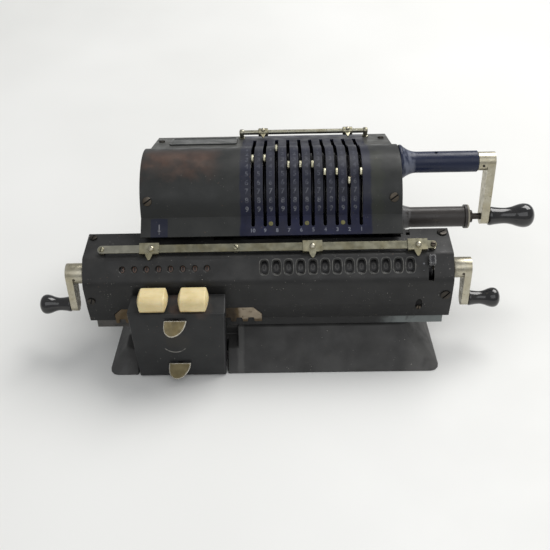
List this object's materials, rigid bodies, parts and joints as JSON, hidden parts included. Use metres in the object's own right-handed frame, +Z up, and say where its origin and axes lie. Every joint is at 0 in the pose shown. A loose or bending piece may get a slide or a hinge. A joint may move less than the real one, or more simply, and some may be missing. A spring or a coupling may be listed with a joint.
{
  "type": "mechanical adding machine",
  "caption": "Desktop pinwheel adding machine: slotted drum with setting levers, hand crank, and a sliding carriage of result and counter windows with clearing cranks.",
  "frame": {"origin": "centre of the machine's bounding box in plan, at desk level", "axes": "+X to the operator's right along the carriage, +Y away from the operator, +Z up"},
  "size_m": [0.3904, 0.1938, 0.1366],
  "materials": {
    "black_paint": "satin black enamel, worn at edges",
    "navy_paint": "satin navy enamel",
    "nickel": "aged nickel plate",
    "steel": "plain machined steel",
    "brass": "dull brass",
    "ivory": "yellowed ivory plastic",
    "black_gloss": "polished black",
    "dial_enamel": "dull dark enamel"
  },
  "bodies": {
    "machine_body": {"base_casting": "black_paint", "base_plate": "steel", "carriage_guide_rail": "steel", "left_frame_plate": "black_paint", "right_frame_plate": "black_paint", "rear_cover": "black_paint", "drum_cover": "black_paint", "top_plate": "black_paint", "crank_bearing_tube": "navy_paint", "crank_stop_tube": "navy_paint", "upper_pointer_rail": "nickel", "key_housing": "black_paint"},
    "crank": {"crank_shaft": "steel", "crank_arm": "nickel"},
    "lock_pin": {"crank_lock_pin": "nickel"},
    "handle": {"crank_handle": "black_gloss"},
    "idler": {"idler_gear": "steel"},
    "rotor": {"rotor": "steel"},
    "carriage": {"carriage_frame": "black_paint", "carriage_cover": "black_paint", "shift_rack": "brass", "decimal_rail": "nickel"},
    "selector": {"selector_lever": "black_gloss"},
    "result_crank": {"result_clearing_crank": "nickel"},
    "result_knob": {"result_clearing_knob": "black_gloss"},
    "counter_crank": {"counter_clearing_crank": "nickel"},
    "counter_knob": {"counter_clearing_knob": "black_gloss"},
    "counter_dials": {"counter_dial_set": "dial_enamel"},
    "left_key": {"shift_key_left": "ivory"},
    "right_key": {"shift_key_right": "ivory"},
    "upper_latch": {"upper_latch": "nickel"},
    "lower_latch": {"lower_latch": "nickel"},
    "lever_1": {"setting_lever_1": "nickel"},
    "lever_2": {"setting_lever_2": "nickel"},
    "lever_3": {"setting_lever_3": "nickel"},
    "lever_4": {"setting_lever_4": "nickel"},
    "lever_5": {"setting_lever_5": "nickel"},
    "lever_6": {"setting_lever_6": "nickel"},
    "lever_7": {"setting_lever_7": "nickel"},
    "lever_8": {"setting_lever_8": "nickel"},
    "lever_9": {"setting_lever_9": "nickel"},
    "lever_10": {"setting_lever_10": "nickel"},
    "decimal_pointer_1": {"decimal_pointer_1": "nickel"},
    "decimal_pointer_2": {"decimal_pointer_2": "nickel"},
    "decimal_pointer_3": {"decimal_pointer_3": "nickel"},
    "upper_pointer_1": {"upper_pointer_1": "nickel"},
    "upper_pointer_2": {"upper_pointer_2": "nickel"},
    "result_dial_1": {"result_dial_1": "dial_enamel"},
    "result_dial_2": {"result_dial_2": "dial_enamel"},
    "result_dial_3": {"result_dial_3": "dial_enamel"},
    "result_dial_4": {"result_dial_4": "dial_enamel"},
    "result_dial_5": {"result_dial_5": "dial_enamel"},
    "result_dial_6": {"result_dial_6": "dial_enamel"},
    "result_dial_7": {"result_dial_7": "dial_enamel"},
    "result_dial_8": {"result_dial_8": "dial_enamel"},
    "result_dial_9": {"result_dial_9": "dial_enamel"},
    "result_dial_10": {"result_dial_10": "dial_enamel"},
    "result_dial_11": {"result_dial_11": "dial_enamel"},
    "result_dial_12": {"result_dial_12": "dial_enamel"},
    "result_dial_13": {"result_dial_13": "dial_enamel"}
  },
  "joints": [
    {"name": "crank_turn", "type": "hinge", "parent": "machine_body", "child": "crank", "pos_m": [0.15175, 0.0219, 0.1205], "axis": [1, 0, 0], "continuous": true},
    {"name": "handle_pull", "type": "slide", "parent": "crank", "child": "lock_pin", "axis": [1, 0, 0], "range_m": [0, 0.006], "stiffness_N_per_m": 300, "springref_m": -0.002},
    {"name": "handle_spin", "type": "hinge", "parent": "lock_pin", "child": "handle", "pos_m": [0.17515, 0.0149, 0.0732], "axis": [1, 0, 0], "continuous": true},
    {"name": "idler_turn", "type": "hinge", "parent": "machine_body", "child": "idler", "pos_m": [0.07215, 0.0199, 0.10755], "axis": [1, 0, 0], "continuous": true},
    {"name": "rotor_turn", "type": "hinge", "parent": "machine_body", "child": "rotor", "pos_m": [-0.01485, 0.0179, 0.0946], "axis": [1, 0, 0], "continuous": true},
    {"name": "lever_1_set", "type": "hinge", "parent": "rotor", "child": "lever_1", "pos_m": [0.05255, 0.0179, 0.0946], "axis": [1, 0, 0], "range_deg": [-50, 40]},
    {"name": "lever_2_set", "type": "hinge", "parent": "rotor", "child": "lever_2", "pos_m": [0.04355, 0.0179, 0.0946], "axis": [1, 0, 0], "range_deg": [-60, 30]},
    {"name": "lever_3_set", "type": "hinge", "parent": "rotor", "child": "lever_3", "pos_m": [0.03455, 0.0179, 0.0946], "axis": [1, 0, 0], "range_deg": [-50, 40]},
    {"name": "lever_4_set", "type": "hinge", "parent": "rotor", "child": "lever_4", "pos_m": [0.02555, 0.0179, 0.0946], "axis": [1, 0, 0], "range_deg": [-50, 40]},
    {"name": "lever_5_set", "type": "hinge", "parent": "rotor", "child": "lever_5", "pos_m": [0.01655, 0.0179, 0.0946], "axis": [1, 0, 0], "range_deg": [-40, 50]},
    {"name": "lever_6_set", "type": "hinge", "parent": "rotor", "child": "lever_6", "pos_m": [0.00755, 0.0179, 0.0946], "axis": [1, 0, 0], "range_deg": [-40, 50]},
    {"name": "lever_7_set", "type": "hinge", "parent": "rotor", "child": "lever_7", "pos_m": [-0.00145, 0.0179, 0.0946], "axis": [1, 0, 0], "range_deg": [-40, 50]},
    {"name": "lever_8_set", "type": "hinge", "parent": "rotor", "child": "lever_8", "pos_m": [-0.01045, 0.0179, 0.0946], "axis": [1, 0, 0], "range_deg": [-10, 80]},
    {"name": "lever_9_set", "type": "hinge", "parent": "rotor", "child": "lever_9", "pos_m": [-0.01945, 0.0179, 0.0946], "axis": [1, 0, 0], "range_deg": [-30, 60]},
    {"name": "lever_10_set", "type": "hinge", "parent": "rotor", "child": "lever_10", "pos_m": [-0.02845, 0.0179, 0.0946], "axis": [1, 0, 0], "range_deg": [-30, 60]},
    {"name": "carriage_shift", "type": "slide", "parent": "machine_body", "child": "carriage", "axis": [1, 0, 0], "range_m": [-0.036, 0.027]},
    {"name": "decimal_pointer_1_slide", "type": "slide", "parent": "carriage", "child": "decimal_pointer_1", "axis": [1, 0, 0], "range_m": [-0.0262, 0.0548]},
    {"name": "decimal_pointer_2_slide", "type": "slide", "parent": "carriage", "child": "decimal_pointer_2", "axis": [1, 0, 0], "range_m": [-0.0475, 0.0624]},
    {"name": "decimal_pointer_3_slide", "type": "slide", "parent": "carriage", "child": "decimal_pointer_3", "axis": [1, 0, 0], "range_m": [-0.0624, 0.0017]},
    {"name": "upper_pointer_1_slide", "type": "slide", "parent": "machine_body", "child": "upper_pointer_1", "axis": [1, 0, 0], "range_m": [-0.0117, 0.0616]},
    {"name": "upper_pointer_2_slide", "type": "slide", "parent": "machine_body", "child": "upper_pointer_2", "axis": [1, 0, 0], "range_m": [-0.0616, 0.0088]},
    {"name": "selector_swing", "type": "hinge", "parent": "carriage", "child": "selector", "pos_m": [0.10275, -0.0431, 0.0682], "axis": [1, 0, 0], "range_deg": [0, 37]},
    {"name": "result_clear_turn", "type": "hinge", "parent": "carriage", "child": "result_crank", "pos_m": [0.13435, -0.0431, 0.0682], "axis": [1, 0, 0], "continuous": true},
    {"name": "result_knob_spin", "type": "hinge", "parent": "result_crank", "child": "result_knob", "pos_m": [0.14515, -0.0481, 0.0418], "axis": [1, 0, 0], "continuous": true},
    {"name": "result_dial_1_turn", "type": "hinge", "parent": "carriage", "child": "result_dial_1", "pos_m": [0.08755, -0.0431, 0.0682], "axis": [1, 0, 0], "continuous": true},
    {"name": "result_dial_2_turn", "type": "hinge", "parent": "carriage", "child": "result_dial_2", "pos_m": [0.07855, -0.0431, 0.0682], "axis": [1, 0, 0], "continuous": true},
    {"name": "result_dial_3_turn", "type": "hinge", "parent": "carriage", "child": "result_dial_3", "pos_m": [0.06955, -0.0431, 0.0682], "axis": [1, 0, 0], "continuous": true},
    {"name": "result_dial_4_turn", "type": "hinge", "parent": "carriage", "child": "result_dial_4", "pos_m": [0.06055, -0.0431, 0.0682], "axis": [1, 0, 0], "continuous": true},
    {"name": "result_dial_5_turn", "type": "hinge", "parent": "carriage", "child": "result_dial_5", "pos_m": [0.05155, -0.0431, 0.0682], "axis": [1, 0, 0], "continuous": true},
    {"name": "result_dial_6_turn", "type": "hinge", "parent": "carriage", "child": "result_dial_6", "pos_m": [0.04255, -0.0431, 0.0682], "axis": [1, 0, 0], "continuous": true},
    {"name": "result_dial_7_turn", "type": "hinge", "parent": "carriage", "child": "result_dial_7", "pos_m": [0.03355, -0.0431, 0.0682], "axis": [1, 0, 0], "continuous": true},
    {"name": "result_dial_8_turn", "type": "hinge", "parent": "carriage", "child": "result_dial_8", "pos_m": [0.02455, -0.0431, 0.0682], "axis": [1, 0, 0], "continuous": true},
    {"name": "result_dial_9_turn", "type": "hinge", "parent": "carriage", "child": "result_dial_9", "pos_m": [0.01555, -0.0431, 0.0682], "axis": [1, 0, 0], "continuous": true},
    {"name": "result_dial_10_turn", "type": "hinge", "parent": "carriage", "child": "result_dial_10", "pos_m": [0.00655, -0.0431, 0.0682], "axis": [1, 0, 0], "continuous": true},
    {"name": "result_dial_11_turn", "type": "hinge", "parent": "carriage", "child": "result_dial_11", "pos_m": [-0.00245, -0.0431, 0.0682], "axis": [1, 0, 0], "continuous": true},
    {"name": "result_dial_12_turn", "type": "hinge", "parent": "carriage", "child": "result_dial_12", "pos_m": [-0.01145, -0.0431, 0.0682], "axis": [1, 0, 0], "continuous": true},
    {"name": "result_dial_13_turn", "type": "hinge", "parent": "carriage", "child": "result_dial_13", "pos_m": [-0.02045, -0.0431, 0.0682], "axis": [1, 0, 0], "continuous": true},
    {"name": "counter_clear_turn", "type": "hinge", "parent": "carriage", "child": "counter_crank", "pos_m": [-0.17045, -0.0431, 0.0682], "axis": [1, 0, 0], "continuous": true},
    {"name": "counter_knob_spin", "type": "hinge", "parent": "counter_crank", "child": "counter_knob", "pos_m": [-0.17485, -0.0481, 0.0418], "axis": [1, 0, 0], "continuous": true},
    {"name": "counter_dials_turn", "type": "hinge", "parent": "carriage", "child": "counter_dials", "pos_m": [-0.09385, -0.0431, 0.0682], "axis": [1, 0, 0], "continuous": true},
    {"name": "left_key_press", "type": "slide", "parent": "machine_body", "child": "left_key", "axis": [0, 0, -1], "range_m": [0, 0.0028], "stiffness_N_per_m": 200, "springref_m": -0.002},
    {"name": "right_key_press", "type": "slide", "parent": "machine_body", "child": "right_key", "axis": [0, 0, -1], "range_m": [0, 0.0028], "stiffness_N_per_m": 200, "springref_m": -0.002},
    {"name": "upper_latch_press", "type": "hinge", "parent": "machine_body", "child": "upper_latch", "pos_m": [-0.08545, -0.0711, 0.0515], "axis": [1, 0, 0], "range_deg": [0, 14], "stiffness_Nm_per_rad": 0.05, "springref_deg": -11.46},
    {"name": "lower_latch_press", "type": "hinge", "parent": "machine_body", "child": "lower_latch", "pos_m": [-0.08545, -0.0711, 0.0125], "axis": [1, 0, 0], "range_deg": [0, 8], "stiffness_Nm_per_rad": 0.05, "springref_deg": -11.46}
  ],
  "couplings": [
    {"joint": "idler_turn", "follows": "crank_turn", "ratio": -1},
    {"joint": "rotor_turn", "follows": "crank_turn", "ratio": 1},
    {"joint": "result_dial_1_turn", "follows": "result_clear_turn", "ratio": 1},
    {"joint": "result_dial_2_turn", "follows": "result_clear_turn", "ratio": 1},
    {"joint": "result_dial_3_turn", "follows": "result_clear_turn", "ratio": 1},
    {"joint": "result_dial_4_turn", "follows": "result_clear_turn", "ratio": 1},
    {"joint": "result_dial_5_turn", "follows": "result_clear_turn", "ratio": 1},
    {"joint": "result_dial_6_turn", "follows": "result_clear_turn", "ratio": 1},
    {"joint": "result_dial_7_turn", "follows": "result_clear_turn", "ratio": 1},
    {"joint": "result_dial_8_turn", "follows": "result_clear_turn", "ratio": 1},
    {"joint": "result_dial_9_turn", "follows": "result_clear_turn", "ratio": 1},
    {"joint": "result_dial_10_turn", "follows": "result_clear_turn", "ratio": 1},
    {"joint": "result_dial_11_turn", "follows": "result_clear_turn", "ratio": 1},
    {"joint": "result_dial_12_turn", "follows": "result_clear_turn", "ratio": 1},
    {"joint": "result_dial_13_turn", "follows": "result_clear_turn", "ratio": 1},
    {"joint": "counter_dials_turn", "follows": "counter_clear_turn", "ratio": 1}
  ]
}
